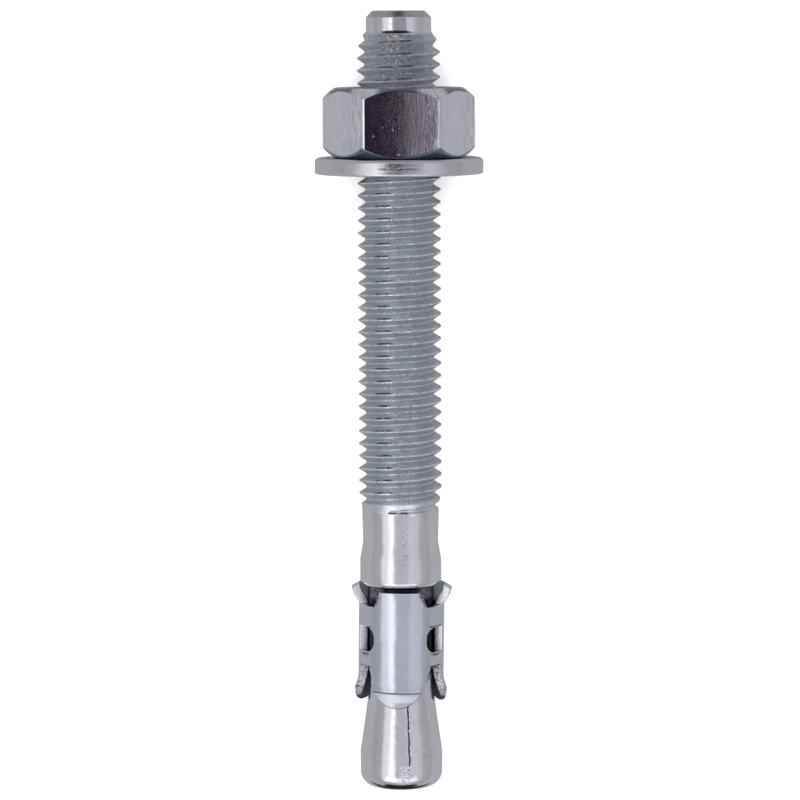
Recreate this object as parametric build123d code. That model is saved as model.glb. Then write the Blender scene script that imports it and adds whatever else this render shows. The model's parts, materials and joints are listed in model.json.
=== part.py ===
from build123d import *

from math import asin, atan2, cos, degrees, hypot, radians, sin, tan
import os

# An M12 wedge anchor (through bolt) in zinc-plated steel, 110 mm long.
# Millimetres.  Each piece is first modelled standing on its cone end, with its axis on +Z and
# its front at -Y.  Heights count up from the cone end, and angles count from the front,
# towards +X.  lay_down then turns the whole anchor onto the surface that it rests on.

# ---- driving dimensions: stud, from the struck end down to the cone ----
pilot_diameter = 9.2
pilot_length = 3.0
pilot_chamfer = 0.95
thread_diameter = 11.7
thread_pitch = 1.75
thread_length = 67.0
thread_lead_in = 1.4         # chamfered start of the thread, below the pilot
shank_diameter = 10.8
shank_waist_diameter = 10.6  # where the shank has narrowed, just above the flare
shank_length = 4.95
flare_length = 2.35
collar_diameter = 11.45
collar_length = 3.8
collar_chamfer = 0.6
neck_diameter = 9.3
cone_half_angle = 8.3
land_diameter = 11.65
land_length = 2.75
end_round = 2.2

# ---- driving dimensions: nut and washer ----
nut_setback = 10.75          # struck end of the stud to the top face of the nut
nut_across_flats = 18.75
nut_height = 9.8
nut_face_margin = 0.3        # from the flats in to the flat ring of each end face
nut_crown_height = 1.6       # how far the rounded corners reach down from each end face
nut_crown_radius = 3.0
nut_turn = 2.0               # how far the nut is turned from having a flat straight to the front
nut_countersink = 0.6        # radial width of the lead-in at each end of the bore
countersink_angle = 30.0     # from the end face
nut_thread_clearance = 0.05  # radial
washer_diameter = 23.75
washer_thickness = 2.3
washer_bore_clearance = 0.65  # radial, over the thread
washer_edge_chamfer = 0.3

# ---- driving dimensions: expansion clip, from the tips of its tongues up ----
clip_sheet = 1.2
clip_clearance = 0.2         # radial, over the neck
clip_collar_gap = 0.5        # under the collar
clip_cone_overlap = 1.0      # how far the tongue tips reach past the top of the cone
clip_turn = -2.0             # how far the clip has turned on the neck
slot_length = 5.7
lower_bridge = 2.0
window_height = 3.65
upper_bridge = 2.9
front_tab_height = 2.15
tongue_flare_height = 5.3    # the inner face flares away from the cone below this
tongue_flare_angle = 12.5
tongue_flare_radius = 6.6
tongue_swell_height = 4.1    # the outer face swells into a bead below this
tongue_swell_angle = 22.0
tongue_swell_radius = 3.0
tongue_bevel_height = 2.2
tongue_edge = 0.35           # sheet left at the tongue's bevelled tip
ear_root_radius = 1.2        # to the middle of the sheet
ear_root_angle = 41.0
ear_leaf_radius = 3.7        # to the middle of the sheet, which arches back towards the axis
ear_leaf_turn = 30.0
ear_tip_skew = 0.3           # how much further the inner face runs at the tip
segment_pitch = 114.0
window_half_angle = 18.5
window_corner = 1.5
ear_half_angle = 36.0
tab_half_angle = 38.5
tab_tip_half_angle = 30.5
tongue_root_half_angle = 47.0
tongue_tip_half_angle = 36.0
front_tip_left_angle = 35.5  # the front tongue is narrower, and its tip is off centre
front_tip_right_angle = 28.5

# ---- derived: radii ----
pilot_radius = pilot_diameter / 2
thread_radius = thread_diameter / 2
shank_radius = shank_diameter / 2
waist_radius = shank_waist_diameter / 2
collar_radius = collar_diameter / 2
neck_radius = neck_diameter / 2
land_radius = land_diameter / 2
washer_radius = washer_diameter / 2
clip_inner = neck_radius + clip_clearance
clip_outer = clip_inner + clip_sheet

# ---- derived: heights on the stud ----
clip_length = slot_length + lower_bridge + window_height + upper_bridge + front_tab_height
cone_length = (land_radius - neck_radius) / tan(radians(cone_half_angle))
neck_length = clip_length + clip_collar_gap - clip_cone_overlap
land_top = end_round + land_length
cone_top = land_top + cone_length
collar_bottom = cone_top + neck_length
flare_bottom = collar_bottom + collar_length
flare_top = flare_bottom + flare_length
thread_bottom = flare_top + shank_length
thread_top = thread_bottom + thread_length
stud_top = thread_top + pilot_length
nut_bottom = stud_top - nut_setback - nut_height
washer_bottom = nut_bottom - washer_thickness

# ---- derived: heights and angles on the clip ----
clip_bottom = cone_top - clip_cone_overlap
bevel_top = clip_bottom + tongue_bevel_height
flare_start = clip_bottom + tongue_flare_height
swell_start = clip_bottom + tongue_swell_height
slot_top = clip_bottom + slot_length
window_bottom = slot_top + lower_bridge
window_top = window_bottom + window_height
notch_bottom = window_top + upper_bridge
front_tab_top = notch_bottom + front_tab_height
strip_end_angle = 1.5 * segment_pitch
joint_angles = (-strip_end_angle, -segment_pitch / 2, segment_pitch / 2, strip_end_angle)


def flared_radius(start_radius, bend_radius, angle, drop):
    """The radius of one face of a tongue, a drop below the height where it leaves the ring."""
    turn = radians(angle)
    bent = bend_radius * (1 - cos(turn))
    straight = (drop - bend_radius * sin(turn)) * tan(turn)
    return start_radius + bent + straight


bevel_radius = flared_radius(
    clip_outer, tongue_swell_radius, tongue_swell_angle, swell_start - bevel_top
)
tip_radius = flared_radius(
    clip_inner, tongue_flare_radius, tongue_flare_angle, flare_start - clip_bottom
)

# Cutting blocks run from close to the axis to well outside the flared ears.
block_inner = 0.4 * neck_radius
block_outer = 2.0 * clip_outer


def circles_at(solid, height):
    """The round edges of a turned solid that lie at one height."""
    return solid.edges().filter_by(GeomType.CIRCLE).filter_by_position(Axis.Z, height, height)


# ---------------------------------------------------------------- stud
def make_stud():
    """The cold-formed stud: pilot, thread blank, tapered shank, collar, waisted neck and cone.

    The thread is a plain cylinder at its outer diameter, with a chamfered start and a run-out
    one pitch long.
    """
    outline = Polyline(
        (0, 0),
        (land_radius, 0),
        (land_radius, land_top),
        (neck_radius, cone_top),
        (neck_radius, collar_bottom),
        (collar_radius, collar_bottom),
        (collar_radius, flare_bottom),
        (waist_radius, flare_top),
        (shank_radius, thread_bottom),
        (thread_radius, thread_bottom + thread_pitch),
        (thread_radius, thread_top - thread_lead_in),
        (pilot_radius, thread_top),
        (pilot_radius, stud_top),
        (0, stud_top),
        (0, 0),
    )
    blank = revolve(Plane.XZ * make_face(outline), Axis.Z)
    blank = fillet(circles_at(blank, 0), end_round)
    blank = chamfer(circles_at(blank, stud_top), pilot_chamfer)
    collar_edges = circles_at(blank, collar_bottom).sort_by(SortBy.RADIUS)
    return chamfer(collar_edges[-1], collar_chamfer)


# ---------------------------------------------------------------- washer and nut
def make_washer():
    """A plain stamped washer, chamfered on its upper rim where the punch drew it in."""
    disc = Pos(Z=washer_bottom) * extrude(Circle(washer_radius), washer_thickness)
    disc = chamfer(circles_at(disc, nut_bottom), washer_edge_chamfer)
    bore = Pos(Z=washer_bottom) * extrude(Circle(thread_radius + washer_bore_clearance), washer_thickness)
    return disc - bore


def crown_body(corner_radius):
    """A turned drum whose rounded rims take the corners off both ends of the nut."""
    ring_radius = nut_across_flats / 2 - nut_face_margin
    low = nut_bottom
    high = nut_bottom + nut_height
    rims = (
        RadiusArc((ring_radius, low), (corner_radius, low + nut_crown_height), -nut_crown_radius),
        RadiusArc((corner_radius, high - nut_crown_height), (ring_radius, high), -nut_crown_radius),
    )
    sides = (
        Line((0, low), (ring_radius, low)),
        Line((corner_radius, low + nut_crown_height), (corner_radius, high - nut_crown_height)),
        Line((ring_radius, high), (0, high)),
        Line((0, high), (0, low)),
    )
    return revolve(Plane.XZ * make_face([*rims, *sides]), Axis.Z)


def make_nut():
    """A hexagon nut with a flat near the front, crowned corners and a countersunk bore."""
    corner_radius = nut_across_flats / 2 / cos(radians(30))
    hexagon = RegularPolygon(nut_across_flats / 2, 6, major_radius=False)
    prism = Pos(Z=nut_bottom) * extrude(hexagon, nut_height)
    body = prism & crown_body(corner_radius)
    bore_radius = thread_radius + nut_thread_clearance
    bore = Pos(Z=nut_bottom) * extrude(Circle(bore_radius), nut_height)
    lead_in = nut_countersink * tan(radians(countersink_angle))
    mouth = Pos(Z=lead_in / 2) * Cone(bore_radius + nut_countersink, bore_radius, lead_in)
    lower_mouth = Pos(Z=nut_bottom) * mouth
    upper_mouth = Pos(Z=nut_bottom + nut_height) * Rot(X=180) * mouth
    return Rot(Z=nut_turn) * (body - bore - lower_mouth - upper_mouth)


# ---------------------------------------------------------------- expansion clip
def radial_block(centre_angle, corners):
    """A block whose sides all point at the axis, as in a strip punched flat and then rolled.

    Each corner is an angle from the centre of the block and a height.
    """
    ends = []
    for reach in (block_inner, block_outer):
        points = [(reach * tan(radians(angle)), height) for angle, height in corners]
        ends.append(Plane.XZ.offset(reach) * make_face(Polyline(*points, close=True)))
    return Rot(Z=centre_angle) * loft(ends, ruled=True)


def turned_sector(face, centre_angle, half_angle):
    """A face drawn in (radius, height), turned through an angle each side of its centre."""
    sector = revolve(Plane.XZ * face, Axis.Z, 2 * half_angle)
    return Rot(Z=centre_angle - half_angle - 90) * sector


def sheet_ring():
    """The rolled sheet below the tabs: a plain ring above, flared and beaded tongues below."""
    inner_bend = JernArc((clip_inner, flare_start), (0, -1), tongue_flare_radius, tongue_flare_angle)
    outer_bend = JernArc((clip_outer, swell_start), (0, -1), tongue_swell_radius, tongue_swell_angle)
    tip = Polyline(
        inner_bend @ 1,
        (tip_radius, clip_bottom),
        (tip_radius + tongue_edge, clip_bottom),
        (bevel_radius, bevel_top),
        outer_bend @ 1,
    )
    ring = Polyline(
        (clip_inner, flare_start),
        (clip_inner, notch_bottom),
        (clip_outer, notch_bottom),
        (clip_outer, swell_start),
    )
    return revolve(Plane.XZ * make_face([inner_bend, tip, outer_bend, ring]), Axis.Z)


def front_tab():
    """The plain tab above the front segment, with its two corners cut back."""
    ring = Circle(clip_outer) - Circle(clip_inner)
    band = Pos(Z=notch_bottom) * extrude(ring, front_tab_height)
    trapezoid = [
        (-tab_half_angle, notch_bottom),
        (tab_half_angle, notch_bottom),
        (tab_tip_half_angle, front_tab_top),
        (-tab_tip_half_angle, front_tab_top),
    ]
    return band & radial_block(0, trapezoid)


def side_ear(centre_angle):
    """The ear above a side segment: bent out at its root, then arched back like a leaf."""
    faces = []
    for radius, side in ((clip_inner, 1), (clip_outer, -1)):
        root_radius = ear_root_radius + side * clip_sheet / 2
        leaf_radius = ear_leaf_radius - side * clip_sheet / 2
        root = JernArc((radius, notch_bottom), (0, 1), root_radius, -ear_root_angle)
        leaf = JernArc(root @ 1, root % 1, leaf_radius, ear_leaf_turn)
        faces.append((root, leaf))
    (inner_root, inner_leaf), (outer_root, outer_leaf) = faces
    inner_tip = inner_leaf @ 1 + (inner_leaf % 1) * ear_tip_skew
    tip = Polyline(inner_leaf @ 1, inner_tip, outer_leaf @ 1)
    foot = Line(outer_root @ 0, inner_root @ 0)
    section = make_face([inner_root, inner_leaf, tip, outer_leaf, outer_root, foot])
    return turned_sector(section, centre_angle, ear_half_angle)


def window(centre_angle, rounded_side):
    """The punched window between two segments: square on one side, round on the other.

    rounded_side is +1 where the round side is the one at the larger angle, -1 where it is
    the one at the smaller angle, and 0 where both sides are square.
    """
    section = Polyline(
        (block_inner, window_bottom),
        (block_outer, window_bottom),
        (block_outer, window_top),
        (block_inner, window_top),
        close=True,
    )
    punch = turned_sector(make_face(section), 0, window_half_angle)
    if rounded_side != 0:
        side = punch.faces().sort_by(Axis.X)[-1 if rounded_side > 0 else 0]
        radial_edges = [edge for edge in side.edges() if abs((edge % 0).Z) < 0.5]
        punch = fillet(radial_edges, window_corner)
    return Rot(Z=centre_angle) * punch


def tongue_slot(centre_angle, left_tip_angle, right_tip_angle):
    """The slot between two tongues, which widens down to their bevelled tips.

    The tip angles are those of the tongue on the slot's left and of the one on its right, each
    from the centre of its own segment.
    """
    half_root = segment_pitch / 2 - tongue_root_half_angle
    mouth_left = left_tip_angle - segment_pitch / 2
    mouth_right = segment_pitch / 2 - right_tip_angle
    below = clip_bottom - clip_sheet
    corners = [
        (-half_root, slot_top),
        (half_root, slot_top),
        (mouth_right, bevel_top),
        (mouth_right, below),
        (mouth_left, below),
        (mouth_left, bevel_top),
    ]
    return radial_block(centre_angle, corners)


def tongue_trim(centre_angle, left_tip_angle, right_tip_angle):
    """What is cut off below a tongue's rounded end, as a block under an arc."""
    left = -bevel_radius * sin(radians(left_tip_angle))
    right = bevel_radius * sin(radians(right_tip_angle))
    below = clip_bottom - clip_sheet
    profile = [
        ThreePointArc((left, bevel_top), ((left + right) / 2, clip_bottom), (right, bevel_top)),
        Line((right, bevel_top), (right, below)),
        Line((right, below), (left, below)),
        Line((left, below), (left, bevel_top)),
    ]
    return Rot(Z=centre_angle) * extrude(Plane.XZ * make_face(profile), block_outer)


def make_clip():
    """The expansion clip: one strip, punched and rolled round the neck in three segments."""
    clip = sheet_ring() + front_tab() + side_ear(-segment_pitch) + side_ear(segment_pitch)
    side_tip = (tongue_tip_half_angle, tongue_tip_half_angle)
    tips = [side_tip, (front_tip_left_angle, front_tip_right_angle), side_tip]
    for angle, (left_tip, right_tip) in zip((-segment_pitch, 0, segment_pitch), tips):
        clip -= tongue_trim(angle, left_tip, right_tip)
    for angle, left_tongue, right_tongue in zip(joint_angles, [side_tip, *tips], [*tips, side_tip]):
        clip -= tongue_slot(angle, left_tongue[1], right_tongue[0])
    clip -= window(segment_pitch / 2, -1)
    clip -= window(-segment_pitch / 2, 1)
    clip -= window(strip_end_angle, 0)
    clip -= window(-strip_end_angle, 0)
    half_split = 180 - strip_end_angle
    split = [
        (-half_split, clip_bottom - clip_sheet),
        (half_split, clip_bottom - clip_sheet),
        (half_split, notch_bottom + clip_sheet),
        (-half_split, notch_bottom + clip_sheet),
    ]
    return Rot(Z=clip_turn) * (clip - radial_block(180, split))


# ---------------------------------------------------------------- resting place
def lean_angle():
    """How far the axis leans when the anchor lies on its washer's rim and its cone's end.

    The rim touches at the washer's lower edge.  The cone end touches at the foot of its land,
    or a little further on, where the line from the rim runs tangent to the end round.
    """
    round_centre_radius = land_radius - end_round
    rise = washer_radius - round_centre_radius
    run = washer_bottom - end_round
    return degrees(atan2(rise, run) - asin(end_round / hypot(rise, run)))


def lay_down(pieces):
    """Lays the standing anchor on the ground, front up, centred over the origin."""
    turn = Rot(X=lean_angle() - 90)
    laid = {name: turn * piece for name, piece in pieces.items()}
    box = Compound(children=[Compound(piece) for piece in laid.values()]).bounding_box()
    shift = Pos(-box.center().X, -box.center().Y, -box.min.Z)
    return {name: shift * piece for name, piece in laid.items()}, shift * turn


standing = {
    "stud": make_stud(),
    "expansion_clip": make_clip(),
    "washer": make_washer(),
    "hex_nut": make_nut(),
}
laid_pieces, laid_place = lay_down(standing)

os.makedirs("parts", exist_ok=True)
for name, piece in laid_pieces.items():
    export_step(piece, f"parts/{name}.step")
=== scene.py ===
import json
from math import atan2, ceil, cos, degrees, pi, radians, sin, sqrt, tan

import bpy
import numpy as np
from mathutils import Matrix, Vector
from mathutils.geometry import delaunay_2d_cdt


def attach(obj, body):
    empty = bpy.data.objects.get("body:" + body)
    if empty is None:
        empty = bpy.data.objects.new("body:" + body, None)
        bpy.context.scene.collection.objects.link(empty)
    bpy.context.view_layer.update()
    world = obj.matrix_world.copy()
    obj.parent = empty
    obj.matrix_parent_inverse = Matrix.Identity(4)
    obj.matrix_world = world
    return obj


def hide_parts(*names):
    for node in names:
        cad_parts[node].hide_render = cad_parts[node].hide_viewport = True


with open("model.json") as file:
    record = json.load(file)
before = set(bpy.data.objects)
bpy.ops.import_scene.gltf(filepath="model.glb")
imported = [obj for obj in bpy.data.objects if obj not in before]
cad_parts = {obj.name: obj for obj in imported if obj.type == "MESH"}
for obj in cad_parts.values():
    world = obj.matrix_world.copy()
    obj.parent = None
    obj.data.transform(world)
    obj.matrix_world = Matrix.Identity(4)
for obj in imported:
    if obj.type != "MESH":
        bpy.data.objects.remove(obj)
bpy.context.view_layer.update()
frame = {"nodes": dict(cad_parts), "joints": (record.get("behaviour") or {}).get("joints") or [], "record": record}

# The dress of an M12 wedge anchor: its rolled thread, crowned nut, washer, clip and zinc finish.
# Each piece is drawn in millimetres in the anchor's own frame, with the axis on Z from the cone
# end up and the front at -Y.  Bearings are degrees round the axis from +X towards the back.
MILLIMETRE = 0.001
FRONT = -90.0


# ---------------------------------------------------------------- the frame
def own_frame():
    """The matrix that lays a point of the anchor's own frame into the row frame."""
    spin = next(joint for joint in frame["joints"] if joint["name"] == "nut_spin")
    axis = Vector(spin["axis"]).normalized()
    nut_seat = Vector(spin["pos_m"])
    drops = [(vertex.co - nut_seat).dot(axis) for vertex in frame["nodes"]["stud"].data.vertices]
    right = Vector((1, 0, 0))
    turn = Matrix((right, axis.cross(right), axis)).transposed().to_4x4()
    return Matrix.Translation(nut_seat + axis * min(drops)) @ turn @ Matrix.Scale(MILLIMETRE, 4)


laid = own_frame()


def extent(node):
    """Lowest height, highest height and largest radius of a CAD node in the anchor's own frame."""
    points = [laid.inverted() @ vertex.co for vertex in frame["nodes"][node].data.vertices]
    heights = [point.z for point in points]
    return min(heights), max(heights), max(point.xy.length for point in points)


# ---- sizes taken from the frame ----
_, stud_top, thread_radius = extent("stud")
nut_low, nut_high, _ = extent("hex_nut")
washer_low, washer_high, washer_radius = extent("washer")
clip_low, _, _ = extent("expansion_clip")

# ---- stud, from the struck end down ----
pilot_radius = 4.6
pilot_length = 3.0
pilot_chamfer = 0.95
pilot_edge_round = 0.22
pilot_foot_round = 0.25
thread_pitch = 1.75
thread_length = 67.0
thread_depth = 1.06
thread_crest = 0.15
thread_crest_round = 0.06
thread_root = 0.26
thread_root_round = 0.14
left_crest_setback = 4.93    # struck end to the first full crest on the left side
# The radius that the crest reaches: by distance below the thread's top, and above its foot.
crest_run_in = (
    (-1.0, 4.95), (0.2, 5.25), (1.05, 5.34), (1.93, 5.66), (2.8, 5.86), (3.7, 5.94), (4.6, 5.96),
)
crest_run_out = ((0.0, 5.4), (0.8, 5.58), (1.6, 5.68), (2.2, 5.88), (3.0, 5.96))
run_out_overrun = 0.9        # the last groove fades out this far past the thread
fade_crest = 38.8            # crest height at which the last groove starts, and how soon it
fade_rise = 0.7              # reaches its full depth
shank_radius = 5.4
waist_radius = 5.3
shank_length = 4.95
flare_length = 2.35
collar_radius = 5.725
collar_length = 3.8
collar_round = 0.9
neck_radius = 4.65
cone_half_angle = 8.3
land_radius = 5.825
land_length = 2.75
end_round = 2.2
parting_turn = 11.5          # degrees from the front to the forging's parting line
parting_depth = 0.09
parting_half_width = 0.16

# ---- nut and washer ----
nut_across_flats = 18.75
nut_face_margin = 0.35
nut_turn = 2.0
nut_crown_height = 1.6
nut_crown_radius = 6.5
nut_corner_round = 0.85
nut_edge_round = 0.09
nut_countersink = 0.6
countersink_angle = 30.0
nut_thread_minor = 5.08
nut_thread_clearance = 0.05
washer_bore_radius = 6.5

# ---- expansion clip ----
clip_sheet = 1.2
clip_clearance = 0.2
slot_length = 5.7
lower_bridge = 2.0
lower_bridge_dent = 0.34
window_height = 3.65
upper_bridge = 2.9
upper_bridge_dent = 0.26
front_tab_height = 2.15
clip_turn = -2.0
clip_tilt = 0.75             # the clip hangs a little crooked on the neck
tongue_flare_height = 5.3
tongue_flare_angle = 12.5
tongue_flare_radius = 6.6
tongue_swell_height = 4.1
tongue_swell_angle = 22.0
tongue_swell_radius = 3.0
tongue_bevel_height = 2.2
tongue_edge = 0.35
ear_root_radius = 1.2
ear_root_angle = 41.0
ear_leaf_radius = 3.7
ear_leaf_turn = 30.0
ear_tip_skew = 0.3
segment_pitch = 114.0
window_half_angle = 18.5
window_corner = 1.5
ear_half_angle = 36.0
tab_half_angle = 38.5
tab_tip_half_angle = 30.5
tongue_root_half_angle = 47.0
tongue_tip_angles = ((36.0, 36.0), (35.5, 28.5), (36.0, 36.0))
punched_corner = 0.22
punched_edge_round = 0.11

# ---- heights that follow ----
cone_length = (land_radius - neck_radius) / tan(radians(cone_half_angle))
land_top = end_round + land_length
cone_top = land_top + cone_length
thread_top = stud_top - pilot_length
thread_bottom = thread_top - thread_length
flare_top = thread_bottom - shank_length
flare_bottom = flare_top - flare_length
collar_bottom = flare_bottom - collar_length
left_crest = stud_top - left_crest_setback


# ---------------------------------------------------------------- skins
class Skin:
    """The points and faces of one piece, gathered in the anchor's own frame."""

    def __init__(self):
        self.points = []
        self.faces = []

    def add_points(self, points):
        """Adds points, and returns their numbers."""
        first = len(self.points)
        self.points.extend(points)
        return list(range(first, len(self.points)))

    def add_face(self, corners):
        """Adds a face, leaving out corners that fall together."""
        kept = [c for i, c in enumerate(corners) if c != corners[i - 1]]
        if len(set(kept)) > 2:
            self.faces.append(kept)

    def join(self, first, second):
        """A band of faces between two rings; it faces out where the second ring is higher."""
        for i in range(len(first)):
            j = (i + 1) % len(first)
            self.add_face([first[i], first[j], second[j], second[i]])

    def turned(self, bearings, line, cut=None, closed=False):
        """Rings round the axis for a line of (radius, height), joined in turn.

        A cut gives what is taken off the radius at a bearing and height.
        """
        rings = [
            self.add_points([
                polar(bearing, radius - (cut(bearing, height) if cut else 0), height)
                for bearing in bearings
            ])
            for radius, height in line
        ]
        for first, second in zip(rings, rings[1:] + rings[:1] if closed else rings[1:]):
            self.join(first, second)
        return rings

    def cap(self, ring, height, upward):
        """Closes a ring with a fan of faces about the axis."""
        (centre,) = self.add_points([(0.0, 0.0, height)])
        for i in range(len(ring)):
            j = (i + 1) % len(ring)
            pair = (ring[i], ring[j]) if upward else (ring[j], ring[i])
            self.add_face([*pair, centre])


def polar(bearing, radius, height):
    """A point of the anchor's own frame from its bearing, radius and height."""
    angle = radians(bearing)
    return (radius * cos(angle), radius * sin(angle), height)


def in_scene(name, data):
    """A new object for a mesh, light or camera, linked to the scene."""
    thing = bpy.data.objects.new(name, data)
    bpy.context.scene.collection.objects.link(thing)
    return thing


def make_piece(name, skin, node, material):
    """Turns a skin into a piece that stands for a CAD node and rides on its body."""
    crease = 32.0
    mesh = bpy.data.meshes.new(name)
    mesh.from_pydata([laid @ Vector(point) for point in skin.points], [], skin.faces)
    mesh.validate()
    mesh.materials.append(material)
    mesh.shade_smooth()
    mesh.set_sharp_from_angle(angle=radians(crease))
    piece = in_scene(name, mesh)
    body = next(b for b, nodes in frame["record"]["behaviour"]["bodies"].items() if node in nodes)
    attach(piece, body)
    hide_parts(node)
    return piece


# ---------------------------------------------------------------- outlines
def rounded(corners, closed=False, arc_step=12.0):
    """A line through corners given as (x, y, rounding), with each rounding made by an arc."""
    spots = [Vector(corner[:2]) for corner in corners]
    line = []
    for i, corner in enumerate(corners):
        at_end = i in (0, len(corners) - 1) and not closed
        if at_end or corner[2] == 0:
            line.append(spots[i])
            continue
        back = (spots[i - 1] - spots[i]).normalized()
        ahead = (spots[(i + 1) % len(spots)] - spots[i]).normalized()
        half = back.angle(ahead) / 2
        centre = spots[i] + (back + ahead).normalized() * corner[2] / sin(half)
        start = spots[i] + back * corner[2] / tan(half) - centre
        turn = pi - 2 * half if back.cross(ahead) < 0 else 2 * half - pi
        count = max(2, ceil(degrees(abs(turn)) / arc_step))
        for k in range(count + 1):
            line.append(centre + Matrix.Rotation(turn * k / count, 2) @ start)
    return line


def divided(line, longest, closed=False):
    """The same line with extra points, so that no stretch is longer than a given length."""
    points = []
    for start, end in zip(line, line[1:] + line[:1] if closed else line[1:]):
        count = max(1, ceil((end - start).length / longest))
        points += [start.lerp(end, k / count) for k in range(count)]
    return points if closed else points + [line[-1]]


def bearings_round(count, extra=()):
    """Evenly spaced bearings, with extra ones added, starting from +X."""
    even = [360 * i / count for i in range(count)]
    near = [bearing % 360 for bearing in extra]
    kept = [bearing for bearing in even if all(abs(bearing - other) > 0.4 for other in near)]
    return sorted(kept + near)


# ---------------------------------------------------------------- threads
def helix_band(skin, bearings, low_ring, high_ring, low, high, profile, radius_at):
    """A helical band between two rings, whose rows follow the thread.

    The profile lists how far each row lies above a crest, over one pitch.  radius_at gives
    the radius from the row's place in the pitch and its height.
    """
    rows = len(profile)
    snap = 0.012                 # a row this near to one of the rings joins it
    numbers = {}

    def number(row, column):
        if column == len(bearings):
            return number(row + rows, 0)
        turns, step = divmod(row, rows)
        turns += (bearings[column] - 180) / 360
        height = left_crest + turns * thread_pitch + profile[step]
        if height < low + snap:
            return low_ring[column]
        if height > high - snap:
            return high_ring[column]
        if (row, column) not in numbers:
            point = polar(bearings[column], radius_at(profile[step], height), height)
            (numbers[row, column],) = skin.add_points([point])
        return numbers[row, column]

    first = rows * int((low - left_crest) // thread_pitch - 2)
    last = rows * int((high - left_crest) // thread_pitch + 2)
    for row in range(first, last):
        for column in range(len(bearings)):
            skin.add_face([
                number(row, column),
                number(row, column + 1),
                number(row + 1, column + 1),
                number(row + 1, column),
            ])


def thread_section():
    """Half a pitch of the rolled thread, crest to root, as (offset from the crest, depth)."""
    flank = (thread_pitch - thread_crest - thread_root) / 2
    return divided(
        rounded(
            [
                (0, 0, 0),
                (thread_crest / 2, 0, thread_crest_round),
                (thread_crest / 2 + flank, thread_depth, thread_root_round),
                (thread_pitch / 2, thread_depth, 0),
            ],
            arc_step=20,
        ),
        0.45,
    )


def full_pitch(half_section):
    """The offsets and depths over one whole pitch, from a half that runs crest to root."""
    rising = [(point.x, point.y) for point in half_section]
    falling = [(thread_pitch - x, depth) for x, depth in reversed(rising[1:-1])]
    return rising + falling


def eased(value):
    """A smooth step from 0 to 1."""
    value = min(1.0, max(0.0, value))
    return value * value * (3 - 2 * value)


# ---------------------------------------------------------------- stud
parting_bearings = (FRONT + parting_turn, FRONT + parting_turn + 180)


def parting_line_depth(bearing, height):
    """How deep the forging's parting line lies under the turned surface at one place."""
    turns = [(bearing - line + 180) % 360 - 180 for line in parting_bearings]
    wander = 0.12 * sin(height * 2.3) + 0.07 * sin(height * 5.9 + 1.0)
    offset = radians(min(turns, key=abs)) * neck_radius + wander * 0.3
    fade = eased((height - land_top + 1.2) / 1.6) * eased((cone_top + 1.5 - height) / 1.5)
    return parting_depth * fade * max(0.0, 1 - (offset / parting_half_width) ** 2)


def crest_radius(crest):
    """The radius that the rolled crest reaches at one height: less at the thread's two ends."""
    run_in = np.interp(thread_top - crest, *zip(*crest_run_in))
    run_out = np.interp(crest - thread_bottom, *zip(*crest_run_out))
    return float(min(run_in, run_out, thread_radius))


def make_stud(material):
    """The stud in one skin: cone, neck, collar, shank, rolled thread and pilot."""
    skin = Skin()
    spread = (-2.6, -1.9, -1.3, -0.65, 0, 0.65, 1.3, 1.9, 2.6)    # over each parting line
    bearings = bearings_round(76, [line + step for line in parting_bearings for step in spread])
    helix_low = thread_bottom - run_out_overrun
    lower = rounded(
        [
            (0, 0, 0),
            (land_radius, 0, end_round),
            (land_radius, land_top, 0.6),
            (neck_radius, cone_top, 1.0),
            (neck_radius, collar_bottom, 0.25),
            (collar_radius, collar_bottom, collar_round),
            (collar_radius, flare_bottom, 3.0),
            (waist_radius, flare_top, 4.0),
            (shank_radius, helix_low, 0),
        ],
        arc_step=9,
    )
    lower = divided(lower[1:], 0.35)
    low_rings = skin.turned(bearings, lower, parting_line_depth)
    skin.cap(low_rings[0], lower[0].y, upward=False)

    pilot_foot = thread_top - 0.15
    upper = rounded(
        [
            (pilot_radius + pilot_foot_round, pilot_foot, 0),
            (pilot_radius, pilot_foot, pilot_foot_round),
            (pilot_radius, stud_top - pilot_chamfer, pilot_edge_round),
            (pilot_radius - pilot_chamfer, stud_top, pilot_edge_round),
            (0, stud_top, 0),
        ]
    )[:-1]
    high_rings = skin.turned(bearings, upper, parting_line_depth)
    skin.cap(high_rings[-1], stud_top, upward=True)

    section = full_pitch(thread_section())
    depth_at = dict(section)
    root_radius = thread_radius - thread_depth

    def rolled_radius(offset, height):
        crest = height - offset
        if crest < thread_bottom + 2 * thread_pitch:
            lift = (shank_radius - root_radius) * (1 - eased((crest - fade_crest) / fade_rise))
            return min(crest_radius(height), thread_radius - depth_at[offset] + lift)
        nearest = crest if offset < thread_pitch / 2 else crest + thread_pitch
        filled = (crest_radius(nearest) - root_radius) / thread_depth
        radius = root_radius + filled * (thread_depth - depth_at[offset])
        return min(radius, pilot_radius + pilot_foot_round + 0.6 * (pilot_foot - height))

    profile = [offset for offset, _ in section]
    helix_band(
        skin, bearings, low_rings[-1], high_rings[0], helix_low, pilot_foot, profile, rolled_radius
    )
    return make_piece("threaded_stud", skin, "stud", material)


# ---------------------------------------------------------------- washer
def make_washer(material):
    """The stamped washer: drawn-in upper rim, sharper lower rim."""
    skin = Skin()
    outline = rounded(
        [
            (washer_bore_radius, washer_low, 0.15),
            (washer_radius, washer_low, 0.35),
            (washer_radius, washer_high, 0.6),
            (washer_bore_radius, washer_high, 0.3),
        ],
        closed=True,
    )
    skin.turned(bearings_round(160), divided(outline, 1.2, closed=True), closed=True)
    return make_piece("flat_washer", skin, "washer", material)


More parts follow.
